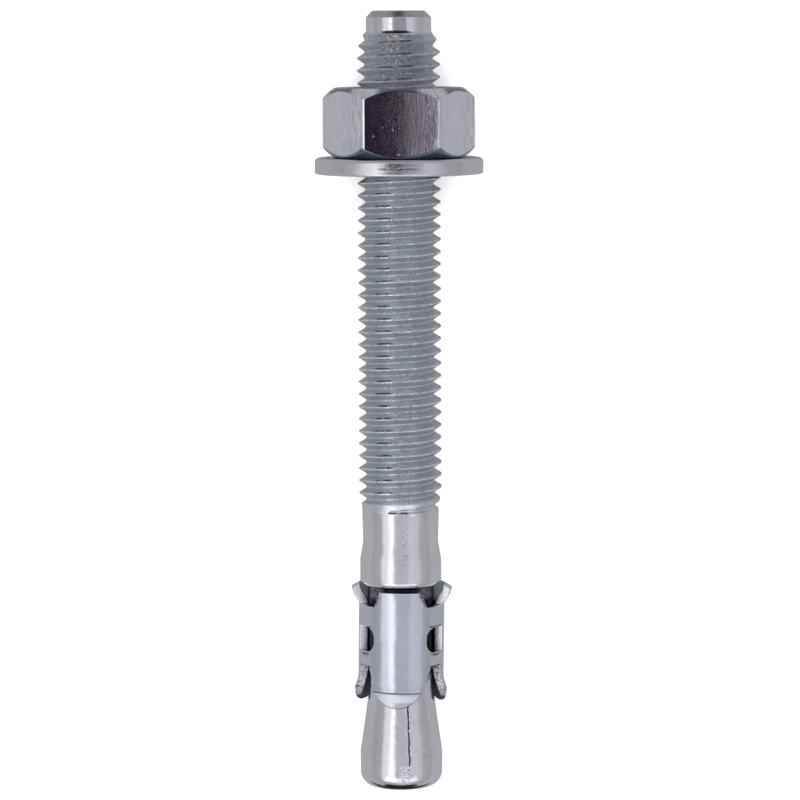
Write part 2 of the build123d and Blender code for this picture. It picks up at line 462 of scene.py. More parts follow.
# ---------------------------------------------------------------- nut
def hexagon_radius(bearing):
    """The radius of the nut's side at one bearing, with its six corners rounded."""
    apothem = nut_across_flats / 2
    off_corner = radians((bearing - nut_turn + 30) % 60 - 30)
    flat = apothem / cos(radians(30) - abs(off_corner))
    centre = (apothem - nut_corner_round) / cos(radians(30))
    tangent = atan2(centre * sin(radians(30)), apothem)
    if radians(30) - abs(off_corner) < tangent:
        return flat
    across = centre * sin(off_corner)
    return centre * cos(off_corner) + sqrt(nut_corner_round ** 2 - across ** 2)


def crown_drop(radius):
    """How far the nut's crowned face lies below its flat ring at one radius."""
    inner = Vector((nut_across_flats / 2 - nut_face_margin, 0))
    outer = Vector((nut_across_flats / 2 / cos(radians(30)), -nut_crown_height))
    chord = outer - inner
    bulge = sqrt(nut_crown_radius ** 2 - chord.length_squared / 4)
    inward = Vector((chord.y, -chord.x)).normalized()
    centre = inner + chord / 2 + inward * bulge
    return -(centre.y + sqrt(nut_crown_radius ** 2 - (radius - centre.x) ** 2))


def nut_side_line(bearing):
    """Half of the nut's side at one bearing, from the flat ring down to mid height."""
    side = hexagon_radius(bearing)
    ring = nut_across_flats / 2 - nut_face_margin
    edge = nut_edge_round
    radii = [ring + share * (side - edge - ring) for share in (0.08, 0.3, 0.55, 0.8, 1.0)]
    line = [(ring - 0.05, 0.0)] + [(radius, crown_drop(radius)) for radius in radii]
    foot = crown_drop(side)
    line.append((side - 0.3 * edge, crown_drop(side - 0.3 * edge) + 0.12 * edge))
    line.append((side - 0.04 * edge, foot + 0.35 * edge))
    line.append((side, foot + edge))
    middle = (nut_high - nut_low) / 2
    line += [(side, foot + edge + share * (middle - foot - edge)) for share in (0.2, 0.5, 1.0)]
    return line


def nut_bearings():
    """Bearings round the nut, closest together over its rounded corners."""
    steps = (0, 0.5, 1.0, 1.5, 2.0, 2.4, 3.4, 6, 10, 15, 20, 25, 30)
    sector = sorted({step for step in steps} | {60 - step for step in steps[:-1]})
    return [nut_turn + corner + step for corner in range(0, 360, 60) for step in sector if step < 60]


def make_nut(material):
    """The crowned hexagon nut with its tapped bore."""
    skin = Skin()
    bearings = nut_bearings()
    levels = list(zip(*(nut_side_line(bearing) for bearing in bearings)))

    def half_side(face, inward, levels):
        """Rings down one half of the nut's side, from a flat ring to mid height."""
        return [
            skin.add_points([
                polar(bearing, radius, face + inward * drop)
                for bearing, (radius, drop) in zip(bearings, level)
            ])
            for level in levels
        ]

    upper = half_side(nut_high, -1, levels)
    lower = half_side(nut_low, 1, levels[:-1]) + upper[-1:]
    for k in range(len(levels) - 1):
        skin.join(upper[k + 1], upper[k])
        skin.join(lower[k], lower[k + 1])

    bore = thread_radius + nut_thread_clearance
    lead_in = (bore + nut_countersink - nut_thread_minor) * tan(radians(countersink_angle))
    mouth = bore + nut_countersink
    inner_low, inner_high = nut_low + lead_in, nut_high - lead_in
    rim = mouth + 0.08
    low_rings = skin.turned(
        bearings, [(nut_thread_minor, inner_low), (mouth, nut_low + 0.04), (rim, nut_low)]
    )
    high_rings = skin.turned(
        bearings, [(rim, nut_high), (mouth, nut_high - 0.04), (nut_thread_minor, inner_high)]
    )
    skin.join(low_rings[-1], lower[0])
    skin.join(upper[0], high_rings[0])

    slope = thread_depth / ((thread_pitch - thread_crest - thread_root) / 2)
    root_half = thread_crest / 2 + nut_thread_clearance
    land_start = root_half + (bore - nut_thread_minor) / slope
    half = rounded(
        [
            (0, bore, 0),
            (root_half, bore, 0.05),
            (land_start, nut_thread_minor, 0.04),
            (thread_pitch / 2, nut_thread_minor, 0),
        ],
        arc_step=40,
    )
    section = full_pitch(half)
    radius_of = dict(section)

    def tapped_radius(offset, height):
        lead = 0.9               # the thread is cut to its full depth this far from each end
        near_end = min(height - inner_low, inner_high - height)
        return nut_thread_minor + (radius_of[offset] - nut_thread_minor) * eased(near_end / lead)

    inside = Skin()
    inside.points = skin.points
    helix_band(
        inside, bearings, low_rings[0], high_rings[-1], inner_low, inner_high,
        [offset for offset, _ in section], tapped_radius,
    )
    skin.faces += [face[::-1] for face in inside.faces]
    return make_piece("crowned_nut", skin, "hex_nut", material)


# ---------------------------------------------------------------- expansion clip
clip_inner = neck_radius + clip_clearance
clip_middle = clip_inner + clip_sheet / 2
bevel_top = clip_low + tongue_bevel_height
flare_start = clip_low + tongue_flare_height
slot_top = clip_low + slot_length
window_bottom = slot_top + lower_bridge
window_top = window_bottom + window_height
notch_bottom = window_top + upper_bridge
front_tab_top = notch_bottom + front_tab_height
swell_start = clip_low + tongue_swell_height
ear_root_length = ear_root_radius * radians(ear_root_angle)
ear_leaf_length = ear_leaf_radius * radians(ear_leaf_turn)
ear_top = notch_bottom + ear_root_length + ear_leaf_length
strip_end_angle = 1.5 * segment_pitch


def around(angle):
    """Where an angle from the front lies along the flat strip."""
    return radians(angle) * clip_middle


def flared(drop, bend_radius, angle):
    """How far a face of a tongue has moved out, a drop below the height where it leaves the ring."""
    turn = radians(angle)
    if drop <= 0:
        return 0.0
    if drop < bend_radius * sin(turn):
        return bend_radius - sqrt(bend_radius ** 2 - drop ** 2)
    return bend_radius * (1 - cos(turn)) + (drop - bend_radius * sin(turn)) * tan(turn)


def inner_face(height):
    """The radius of the clip's inner face below the ears."""
    return clip_inner + flared(flare_start - height, tongue_flare_radius, tongue_flare_angle)


def bridge_dent(angle, height):
    """How far the sheet is pressed in where the narrow bridges between segments were bent."""
    depth = 0.0
    for joint in (-segment_pitch / 2, segment_pitch / 2):
        near = max(0.0, 1 - abs(angle - joint) / (0.9 * window_half_angle))
        for low, high, press in (
            (slot_top, window_bottom, lower_bridge_dent),
            (window_top, notch_bottom, upper_bridge_dent),
        ):
            share = (height - low) / (high - low)
            if 0 < share < 1:
                depth += press * eased(near) * sin(pi * share) ** 2
    return depth


def outer_face(height):
    """The radius of the clip's outer face below the ears, with the bead and bevel of a tongue."""
    drop = swell_start - max(height, bevel_top)
    radius = clip_inner + clip_sheet + flared(drop, tongue_swell_radius, tongue_swell_angle)
    below = max(0.0, (bevel_top - height) / tongue_bevel_height)
    thinned = below * (0.55 + 0.45 * below)
    return radius + thinned * (inner_face(clip_low) + tongue_edge - radius)


def tongue_end(centre, left_angle, right_angle):
    """The rounded end of a tongue on the flat strip, from its left shoulder to its right."""
    shoulder = outer_face(bevel_top)
    left, right = -shoulder * sin(radians(left_angle)), shoulder * sin(radians(right_angle))
    middle, half_width = (left + right) / 2, (right - left) / 2
    sweep = (half_width ** 2 + tongue_bevel_height ** 2) / (2 * tongue_bevel_height)
    points = []
    steps = 16
    for step in range(steps + 1):
        angle = (right_angle + left_angle) * step / steps - left_angle
        side = shoulder * sin(radians(angle)) - middle
        rise = sweep - sqrt(max(0.0, sweep ** 2 - side ** 2))
        points.append((around(centre + angle), clip_low + min(rise, tongue_bevel_height), 0))
    return points


def torn_edge(start, end):
    """Points along a torn edge of the strip, stepping in and out by a little."""
    steps = ((0.18, 0.05), (0.36, -0.04), (0.52, 0.06), (0.7, -0.05), (0.85, 0.05))
    line = Vector(end) - Vector(start)
    across = Vector((line.y, -line.x)).normalized()
    return [(*(Vector(start) + line * share + across * out), 0) for share, out in steps]


def strip_outline():
    """The outline of the punched strip, anticlockwise from its lower left corner."""
    soft = punched_corner
    line = [(around(-strip_end_angle), slot_top, soft)]
    for centre, tip_angles in zip((-segment_pitch, 0, segment_pitch), tongue_tip_angles):
        line.append((around(centre - tongue_root_half_angle), slot_top, soft))
        line += tongue_end(centre, *tip_angles)
        line.append((around(centre + tongue_root_half_angle), slot_top, soft))
    window_side = strip_end_angle - window_half_angle
    right_end = [
        (strip_end_angle, slot_top), (strip_end_angle, window_bottom),
        (window_side, window_bottom), (window_side, window_top),
        (strip_end_angle, window_top), (strip_end_angle, notch_bottom),
    ]
    ear = [
        (segment_pitch + ear_half_angle, notch_bottom), (segment_pitch + ear_half_angle, ear_top),
        (segment_pitch - ear_half_angle, ear_top), (segment_pitch - ear_half_angle, notch_bottom),
    ]
    right = [(around(angle), height, soft) for angle, height in right_end + ear]
    tab_foot = (around(tab_half_angle), notch_bottom)
    tab_tip = (around(tab_tip_half_angle), front_tab_top)
    right += [(*tab_foot, soft), *torn_edge(tab_foot, tab_tip), (*tab_tip, soft)]
    left = [(-place, height, rounding) for place, height, rounding in reversed(right)]
    return line + right + left[:-1]


def window_outline(side):
    """A window of the strip, clockwise; its side towards the front segment is round."""
    centre = side * segment_pitch / 2
    left, right = around(centre - window_half_angle), around(centre + window_half_angle)
    left_round = window_corner if side > 0 else punched_corner
    right_round = window_corner if side < 0 else punched_corner
    return [
        (left, window_bottom, left_round),
        (left, window_top, left_round),
        (right, window_top, right_round),
        (right, window_bottom, right_round),
    ]


def inset(loop, distance):
    """A closed loop moved to its left, into the sheet, by a distance."""
    moved = []
    for i, spot in enumerate(loop):
        back = (spot - loop[i - 1]).normalized()
        ahead = (loop[(i + 1) % len(loop)] - spot).normalized()
        across = Vector((-back.y - ahead.y, back.x + ahead.x))
        across = across.normalized() / max(0.5, across.length / 2)
        moved.append(spot + across * distance)
    return moved


def inside_loops(points, loops):
    """Which points lie inside an odd number of closed loops."""
    inside = np.zeros(len(points), bool)
    x, y = points[:, 0], points[:, 1]
    for loop in loops:
        ends = np.array([tuple(spot) for spot in loop])
        for (x1, y1), (x2, y2) in zip(ends, np.roll(ends, -1, axis=0)):
            crosses = (y1 > y) != (y2 > y)
            with np.errstate(divide="ignore", invalid="ignore"):
                inside ^= crosses & (x < (x2 - x1) * (y - y1) / (y2 - y1) + x1)
    return inside


def sheet_grid(loops, spacing, margin):
    """Evenly spaced points inside the sheet, a margin away from its edges."""
    ends = np.array([tuple(spot) for loop in loops for spot in loop])
    low, high = ends.min(0), ends.max(0)
    across = np.arange(low[0] + spacing / 2, high[0], spacing)
    up = np.arange(low[1] + spacing / 2, high[1], spacing)
    grid = np.array([(x, y) for y in up for x in across])
    grid = grid[inside_loops(grid, loops)]
    gaps = np.array([np.hypot(*(ends - spot).T).min() for spot in grid])
    return grid[gaps > margin]


def sheet_triangles(loops, grid):
    """Triangles between the loops and the grid points, as numbers into both in turn."""
    points = [Vector(spot) for spots in (*loops, grid) for spot in spots]
    edges = []
    for loop in loops:
        first = len(edges)
        edges += [(first + i, first + (i + 1) % len(loop)) for i in range(len(loop))]
    spots, _, faces, sources, _, _ = delaunay_2d_cdt(points, edges, [], 1, 1e-6)
    middles = np.array([sum((spots[c] for c in face), Vector((0, 0))) / 3 for face in faces])
    kept = inside_loops(middles, loops)
    return [[sources[c][0] for c in face] for face, keep in zip(faces, kept) if keep]


def rolled(place, height, outer, below):
    """Takes a point of the flat strip, so far below its outer or inner face, to the rolled clip."""
    angle = degrees(place / clip_middle)
    if height > notch_bottom and abs(angle) > segment_pitch / 2:
        length = height - notch_bottom
        turn = radians(ear_root_angle)
        out = (clip_sheet / 2 - below) * (1 if outer else -1)
        if length < ear_root_length:
            turn = length / ear_root_radius
            radius = clip_middle + ear_root_radius * (1 - cos(turn))
            height = notch_bottom + ear_root_radius * sin(turn)
        else:
            turn -= (length - ear_root_length) / ear_leaf_radius
            steep = radians(ear_root_angle)
            skew = 0.0 if outer else ear_tip_skew * (length - ear_root_length) / ear_leaf_length
            radius = clip_middle + ear_root_radius * (1 - cos(steep)) + skew * sin(turn)
            radius += ear_leaf_radius * (cos(turn) - cos(steep))
            height = notch_bottom + ear_root_radius * sin(steep) + skew * cos(turn)
            height += ear_leaf_radius * (sin(steep) - sin(turn))
        radius += out * cos(turn)
        height -= out * sin(turn)
    elif outer:
        radius = outer_face(height) - below - bridge_dent(angle, height)
    else:
        radius = inner_face(height) + below
    return polar(FRONT + clip_turn + angle, radius, height)


def hung(point):
    """Tilts a point of the clip about the height where its tongues leave the ring."""
    x, y, height = point
    tilt = radians(clip_tilt)
    rise = height - flare_start
    return (x * cos(tilt) + rise * sin(tilt), y, flare_start + rise * cos(tilt) - x * sin(tilt))


def make_clip(material):
    """The clip: a strip punched flat with rounded edges, then rolled round the neck."""
    skin = Skin()
    longest = 0.3                # mm, between points of the flat sheet
    outlines = [strip_outline(), window_outline(-1), window_outline(1)]
    loops = [divided(rounded(line, closed=True), longest, closed=True) for line in outlines]
    inner_loops = [inset(loop, punched_edge_round) for loop in loops]
    grid = sheet_grid(inner_loops, longest, margin=0.18)
    triangles = sheet_triangles(inner_loops, grid)
    flat = [spot for loop in inner_loops for spot in loop] + [*grid]

    def lay(spots, outer, below):
        return skin.add_points([hung(rolled(*spot, outer, below)) for spot in spots])

    top = lay(flat, True, 0)
    bottom = lay(flat, False, 0)
    for triangle in triangles:
        skin.add_face([top[c] for c in triangle])
        skin.add_face([bottom[c] for c in reversed(triangle)])
    sheared_from = len(skin.points)
    first = 0
    for loop in loops:
        count = len(loop)
        rows = [top[first:first + count]]
        for outer, angles in ((True, (30, 60, 90)), (False, (90, 60, 30))):
            for angle in angles:
                inward = punched_edge_round * (1 - sin(radians(angle)))
                below = punched_edge_round * (1 - cos(radians(angle)))
                rows.append(lay(inset(loop, inward), outer, below))
        rows.append(bottom[first:first + count])
        for upper, lower in zip(rows, rows[1:]):
            skin.join(lower, upper)
        first += count
    clip = make_piece("rolled_clip", skin, "expansion_clip", material)
    for label, numbers in (
        ("sheared_edge", range(sheared_from, len(skin.points))), ("inner_face", bottom)
    ):
        mask = clip.data.attributes.new(label, "FLOAT", "POINT")
        for number in numbers:
            mask.data[number].value = 1.0
    return clip


# ---------------------------------------------------------------- shader groups
class Wires:
    """Adds nodes to one shader tree.  A value is a number, a vector, a colour or a socket."""

    def __init__(self, tree):
        self.tree = tree

    def put(self, socket, value):
        """Sets a socket, or links another socket to it; a colour may leave out its alpha."""
        if isinstance(value, bpy.types.NodeSocket):
            self.tree.links.new(value, socket)
        elif isinstance(value, tuple):
            socket.default_value = (*value, 1)[:len(socket.default_value)]
        else:
            socket.default_value = value

    def node(self, kind, values, **settings):
        """A node with its settings and inputs."""
        node = self.tree.nodes.new(kind)
        for setting, value in settings.items():
            setattr(node, setting, value)
        for socket, value in values.items():
            self.put(node.inputs[socket], value)
        return node

    def math(self, operation, *values):
        """A sum of one to three values."""
        node = self.node("ShaderNodeMath", {}, operation=operation)
        for socket, value in zip(node.inputs, values):
            self.put(socket, value)
        return node.outputs[0]

    def minus(self, first, second):
        """The first value less the second."""
        return self.math("SUBTRACT", first, second)

    def times(self, first, *rest):
        """The product of several values."""
        for value in rest:
            first = self.math("MULTIPLY", first, value)
        return first

    def added(self, value, *parts):
        """A value plus parts, each given as (what, how much of it)."""
        for part, amount in parts:
            value = self.math("MULTIPLY_ADD", part, amount, value)
        return value

    def step(self, value, low, high):
        """A smooth step from 0 at low to 1 at high, where low may be the larger one."""
        values = {"Value": value, "From Min": low, "From Max": high}
        return self.node(
            "ShaderNodeMapRange", values, interpolation_type="SMOOTHSTEP"
        ).outputs["Result"]

    def band(self, value, low, full, fades, gone):
        """A mask that is 0 up to low, 1 from full to where it fades, and 0 again once gone."""
        return self.times(self.step(value, low, full), self.step(value, gone, fades))

    def near(self, value, middle, gone, full):
        """A mask that is 1 within full of a middle, and 0 once further than gone."""
        return self.step(self.math("ABSOLUTE", self.minus(value, middle)), gone, full)

    def blend(self, share, first, second):
        """Goes from the first value or colour to the second."""
        plain = isinstance(second, (int, float)) or getattr(second, "type", "") == "VALUE"
        node = self.node("ShaderNodeMix", {}, data_type="FLOAT" if plain else "RGBA")
        ins = [socket for socket in node.inputs if socket.enabled and socket.name in ("A", "B")]
        for socket, value in zip((node.inputs[0], *ins), (share, first, second)):
            self.put(socket, value)
        return next(out for out in node.outputs if out.enabled)

    def coated(self, first, *coats):
        """A value or colour under coats, each given as (where, how much, its value or colour)."""
        for where, share, coat in coats:
            first = self.blend(where if share == 1 else self.times(where, share), first, coat)
        return first

    def noise(self, point, scale, detail, roughness):
        """Noise around 0.5 at a point in millimetres."""
        values = {"Vector": point, "Scale": scale, "Detail": detail, "Roughness": roughness}
        return self.node("ShaderNodeTexNoise", values).outputs["Fac"]

    def vector(self, x, y, z):
        """A vector from three values."""
        return self.node("ShaderNodeCombineXYZ", {"X": x, "Y": y, "Z": z}).outputs["Vector"]

    def group(self, group, *values):
        """The outputs of a group placed in this tree, with its inputs in their order."""
        node = self.node("ShaderNodeGroup", {}, node_tree=group)
        for socket, value in zip(node.inputs, values):
            self.put(socket, value)
        return node.outputs


def shader_group(name, **inputs):
    """Turns a function, which wires named outputs from its inputs, into a shader node group."""
    def made(wiring):
        group = bpy.data.node_groups.new(name, "ShaderNodeTree")

        def socket_for(label, in_out, vector):
            kind = "NodeSocketVector" if vector else "NodeSocketFloat"
            return group.interface.new_socket(name=label, in_out=in_out, socket_type=kind)

        for label, value in inputs.items():
            socket_for(label.title(), "INPUT", isinstance(value, tuple)).default_value = value
        wires = Wires(group)
        entry = group.nodes.new("NodeGroupInput").outputs
        outputs = wiring(wires, *[entry[label.title()] for label in inputs])
        for label, value in outputs.items():
            socket_for(label, "OUTPUT", value.type == "VECTOR")
        close = group.nodes.new("NodeGroupOutput").inputs
        for label, value in outputs.items():
            wires.put(close[label], value)
        return group
    return made


ORIGIN = (0.0, 0.0, 0.0)


@shader_group("anchor place")
def anchor_place(wires):
    """Where a point lies on the anchor, in millimetres and in degrees from the front."""
    back = laid.inverted()
    point = wires.node(
        "ShaderNodeMapping",
        {
            "Vector": wires.tree.nodes.new("ShaderNodeTexCoord").outputs["Object"],
            "Location": back.translation,
            "Rotation": back.to_euler(),
            "Scale": back.to_scale(),
        },
    ).outputs["Vector"]
    split = wires.node("ShaderNodeSeparateXYZ", {"Vector": point}).outputs
    squares = wires.added(wires.times(split["X"], split["X"]), (split["Y"], split["Y"]))
    angle = wires.math("ARCTAN2", split["X"], wires.times(split["Y"], -1.0))
    return {
        "Point": point, "Radius": wires.math("SQRT", squares),
        "Angle": wires.math("DEGREES", angle), "Height": split["Z"],
    }


@shader_group("cloudy plating", point=ORIGIN, clouds=0.1, mottle=0.1)
def cloudy_plating(wires, point, clouds, mottle):
    """Soft clouds and a finer mottle in the plating, as a shade around 1."""
    soft = wires.noise(point, 0.16, 3.0, 0.55)
    fine = wires.noise(point, 1.3, 5.0, 0.65)
    shade = wires.added(1.0, (wires.minus(soft, 0.5), clouds), (wires.minus(fine, 0.5), mottle))
    return {"Shade": shade, "Mottle": fine}


@shader_group("fine pits", point=ORIGIN, spacing=0.5, size=0.3, amount=0.5)
def fine_pits(wires, point, spacing, size, amount):
    """Scattered pits and specks, gathered in patches."""
    scale = wires.math("DIVIDE", 1.0, spacing)
    cells = wires.node("ShaderNodeTexVoronoi", {"Vector": point, "Scale": scale})
    spots = wires.step(cells.outputs["Distance"], size, wires.times(size, 0.3))
    high = wires.minus(1.0, amount)
    patches = wires.step(wires.noise(point, 0.45, 3.0, 0.6), high, wires.math("ADD", high, 0.12))
    return {"Pits": wires.times(spots, patches)}


@shader_group("drawn lines", across=0.0, along=0.0, fineness=3.0, run=0.04)
def drawn_lines(wires, across, along, fineness, run):
    """Fine lines left by drawing, punching or tightening, long one way and narrow the other."""
    across = wires.times(across, fineness)
    along = wires.times(along, fineness, run)
    lines = wires.noise(wires.vector(across, along, 3.7), 1.0, 4.0, 0.7)
    far = wires.vector(wires.times(across, 0.7), wires.times(along, 2.0), 21.3)
    return {"Lines": lines, "Scores": wires.step(wires.noise(far, 1.0, 2.0, 0.5), 0.64, 0.72)}


@shader_group("rolled waves", point=ORIGIN, waves=0.1, skin=0.01)
def rolled_waves(wires, point, waves, skin):
    """Long soft waves and a fine skin in plated steel, as a height."""
    long_waves = wires.times(wires.noise(point, 0.3, 1.0, 0.4), waves)
    return {"Relief": wires.added(long_waves, (wires.noise(point, 4.0, 2.0, 0.5), skin))}


@shader_group("worn rim", point=ORIGIN, below=0.0, width=0.1, breaks=0.4)
def worn_rim(wires, point, below, width, breaks):
    """Where a rim has been rubbed bright: a mask that fades below the rim and breaks up."""
    rim = wires.step(below, width, wires.times(width, 0.2))
    patches = wires.noise(point, 1.1, 4.0, 0.6)
    return {"Worn": wires.times(rim, wires.step(patches, breaks, wires.math("ADD", breaks, 0.1)))}


# ---------------------------------------------------------------- finishes
class Finish(Wires):
    """The wires of one zinc finish, with the place of each point on the anchor at hand."""

    def __init__(self, name, clouds, mottle, reach):
        self.material = bpy.data.materials.new(name)
        self.material.use_nodes = True
        super().__init__(self.material.node_tree)
        self.shader = self.tree.nodes["Principled BSDF"].inputs
        self.put(self.shader["Metallic"], 1.0)
        place = self.group(anchor_place)
        self.point, self.radius = place["Point"], place["Radius"]
        self.angle, self.height = place["Angle"], place["Height"]
        self.arc = self.times(self.angle, radians(1) * reach)
        cloud = self.group(cloudy_plating, self.point, clouds, mottle)
        self.shade, self.mottle = cloud["Shade"], cloud["Mottle"]

    def grain(self, scale, detail, roughness):
        """Noise in the metal, around 0.5."""
        return self.noise(self.point, scale, detail, roughness)

    def pits(self, spacing, size, amount):
        """A mask of scattered pits."""
        return self.group(fine_pits, self.point, spacing, size, amount)["Pits"]

    def lobes(self, middle, low, high):
        """A mask of three bands round the anchor, a third of a turn apart."""
        turn = self.added(radians(-3 * middle), (self.angle, radians(3)))
        return self.step(self.math("COSINE", turn), low, high)

    def complete(self, colour, dull, relief):
        """Wires in a colour, a roughness and a relief in millimetres, and gives the material."""
        values = {"Vector": colour, "Scale": self.shade}
        shaded = self.node("ShaderNodeVectorMath", values, operation="SCALE").outputs["Vector"]
        values = {"Height": relief, "Distance": MILLIMETRE, "Strength": 1.0}
        normal = self.node("ShaderNodeBump", values).outputs["Normal"]
        for label, value in (("Base Color", shaded), ("Roughness", dull), ("Normal", normal)):
            self.put(self.shader[label], value)
        return self.material


def make_stud_finish():
    """Zinc on the stud: smooth on the shank, dull in the thread, painted dark shade in the neck."""
    zinc = Finish("stud_zinc", 0.16, 0.12, shank_radius)
    step, times, blend, coated, added = zinc.step, zinc.times, zinc.blend, zinc.coated, zinc.added
    band, near, lobes, height = zinc.band, zinc.near, zinc.lobes, zinc.height
    pits = zinc.pits(0.55, 0.24, 0.5)
    rolled_marks = zinc.group(drawn_lines, height, zinc.arc, 3.4, 0.12)
    drawn = zinc.group(drawn_lines, zinc.arc, height, 2.4, 0.05)["Lines"]
    waves = zinc.group(rolled_waves, zinc.point, 0.09, 0.008)["Relief"]
    ragged = zinc.grain(1.7, 4.0, 0.65)
    grit = step(zinc.grain(6.5, 3.0, 0.6), 0.45, 0.58)

    # The thread: bright worn crests, painted dark shade just above each, and flecks torn up by the rolling.
    in_thread = band(
        height, thread_bottom + 0.5, thread_bottom + 1.7, thread_top - 0.5, thread_top - 0.1
    )
    new_end = step(height, nut_high - 1.0, nut_high + 2.0)
    depth = zinc.minus(thread_radius, zinc.radius)
    crest = times(zinc.group(worn_rim, zinc.point, depth, 0.15, 0.42)["Worn"], in_thread)
    rolled_smooth = times(step(depth, 0.3, 0.12), in_thread)
    above_crest = added(
        -0.25 - left_crest / thread_pitch, (zinc.angle, -1 / 360), (height, 1 / thread_pitch)
    )
    # Painted shade: a dark line just above each crest, strongest on some bearings.
    painted_crest_shade = times(
        in_thread,
        near(zinc.math("FRACT", above_crest), 0.125, 0.07, 0.04),
        blend(new_end, lobes(-24.5, 0.7, 0.92), lobes(-5.0, 0.0, 0.45)),
        step(ragged, 0.40, 0.48),
    )
    fleck_lobes = blend(new_end, lobes(6.0, -0.3, 0.6), lobes(-9.0, -0.1, 0.6))
    flecks = times(
        in_thread,
        step(zinc.grain(3.2, 5.0, 0.72), blend(new_end, 0.52, 0.39), 0.6),
        blend(fleck_lobes, 0.3, 1.0),
    )
    scored = times(rolled_marks["Scores"], in_thread, new_end, fleck_lobes)
    blued = times(new_end, lobes(22.0, 0.2, 0.8))
    # Painted shadow under the last groove at the front, with a small dip in the relief.
    run_out_dip_and_painted_shadow = times(
        near(height, fade_crest + 0.93, 0.17, 0.09),
        near(zinc.arc, -0.33, 1.6, 1.2),
        step(ragged, 0.36, 0.44),
    )

    # The pilot: painted shade in a band round its foot, widest at the front, and a sawn chamfer.
    off_corner = zinc.math("ABSOLUTE", zinc.minus(height, thread_top + 0.02))
    corner = times(
        step(zinc.minus(times(lobes(-5.0, -0.15, 0.9), 0.24), off_corner), 0.0, 0.06),
        step(zinc.radius, pilot_radius + 0.45, pilot_radius + 0.25),
    )
    sawn = step(height, stud_top - pilot_chamfer - 0.1, stud_top - pilot_chamfer + 0.1)
    sawn_shade = blend(ragged, (0.34, 0.33, 0.36), (0.66, 0.63, 0.66))

    # Where the two forging dies met, a narrow strip along the front is rougher than the rest.
    strip_arc = 0.55
    strip = times(
        near(zinc.arc, strip_arc, 0.6, 0.3),
        zinc.pits(0.42, 0.5, 0.7),
        band(height, flare_bottom - 1.0, flare_bottom, thread_bottom - 1.0, thread_bottom),
    )
    foot_patch = times(
        near(zinc.arc, strip_arc, 0.9, 0.75),
        band(height, 1.1, 1.5, land_top - 1.4, land_top - 1.1),
    )
    rough_strip = zinc.math("MAXIMUM", times(foot_patch, zinc.pits(0.3, 0.62, 0.95)), strip)
    swerve = zinc.math("SINE", added(1.0, (height, 5.9)))
    wander = zinc.math("SINE", times(height, 2.3))
    off_line = added(
        -parting_turn * radians(neck_radius),
        (zinc.angle, radians(neck_radius)), (swerve, 0.008), (wander, 0.016),
    )
    parting = times(
        near(off_line, 0.0, blend(grit, 0.09, 0.19), 0.05),
        band(height, land_top - 1.3, land_top - 1.0, cone_top - 1.0, cone_top),
        step(ragged, 0.36, 0.44),
    )

    # Painted shade: the neck is near black, with painted light on grit beside the ears.
    in_neck = band(
        height, cone_top + 1.5, cone_top + 4.5, collar_bottom - 0.02, collar_bottom + 0.12
    )
    off_front = zinc.math("ABSOLUTE", zinc.angle)
    scale = (0.008, 0.009, 0.013)
    painted_neck_light = blend(band(off_front, 28.0, 42.0, 66.0, 76.0), (0.05, 0.045, 0.055), (0.42, 0.40, 0.44))
    # Painted near-black shade, lighter grey in front under the tab, painted light on grit near the collar.
    neck = blend(
        step(height, collar_bottom - 1.9, collar_bottom - 1.2),
        blend(step(off_front, 34.0, 16.0), scale, (0.17, 0.17, 0.185)),
        blend(grit, scale, painted_neck_light),
    )

    tint = step(zinc.grain(0.55, 2.0, 0.5), 0.42, 0.6)
    rolled_tint = coated(
        (0.605, 0.655, 0.68),
        (tint, 1, (0.635, 0.65, 0.70)),
        (new_end, 0.12, (0.40, 0.42, 0.45)),
        (blued, 0.6, (0.42, 0.43, 0.53)),
    )
    colour = coated(
        (0.76, 0.765, 0.775),
        (in_thread, 1, rolled_tint),
        (times(rolled_marks["Scores"], in_thread), 0.5, (0.86, 0.87, 0.88)),
        (flecks, 0.85, (0.96, 0.97, 0.98)),
        (scored, 0.9, (0.97, 0.98, 0.98)),
        (crest, 0.9, (0.94, 0.95, 0.96)),
        (sawn, 0.9, sawn_shade),
        (pits, 0.5, (0.24, 0.25, 0.27)),
        (foot_patch, 0.8, (0.86, 0.85, 0.93)),
        (rough_strip, 0.75, (0.26, 0.27, 0.31)),
        (run_out_dip_and_painted_shadow, 0.9, (0.05, 0.052, 0.06)),
        (painted_crest_shade, 0.92, (0.03, 0.032, 0.035)),
        (corner, 0.95, (0.02, 0.02, 0.022)),
        (parting, 0.92, (0.03, 0.03, 0.035)),
        (in_neck, 1, neck),
    )
    dull = coated(
        0.12,
        (in_thread, 1, 0.32), (rolled_smooth, 1, 0.13), (flecks, 0.85, 0.12), (sawn, 1, 0.26),
        (in_neck, 1, 0.45),
    )
    patches = zinc.math("MAXIMUM", foot_patch, strip)
    dull = added(dull, (zinc.minus(zinc.mottle, 0.45), 0.25), (patches, 0.14))
    run_out = band(height, fade_crest + 0.4, fade_crest + 0.9, fade_crest + 2.4, fade_crest + 3.2)
    marks = blend(in_thread, 0.004, blend(new_end, 0.045, 0.16))
    relief = added(
        times(zinc.mottle, blend(in_thread, 0.012, 0.06)),
        (waves, blend(in_thread, 1.0, 0.2)),
        (rolled_marks["Lines"], zinc.math("MAXIMUM", marks, times(run_out, 0.07))),
        (drawn, 0.006),
        (pits, -0.012),
        (rough_strip, -0.03),
        (flecks, blend(new_end, 0.09, 0.26)),
        (run_out_dip_and_painted_shadow, -0.04),
        (parting, -0.05),
    )
    return zinc.complete(colour, dull, relief)


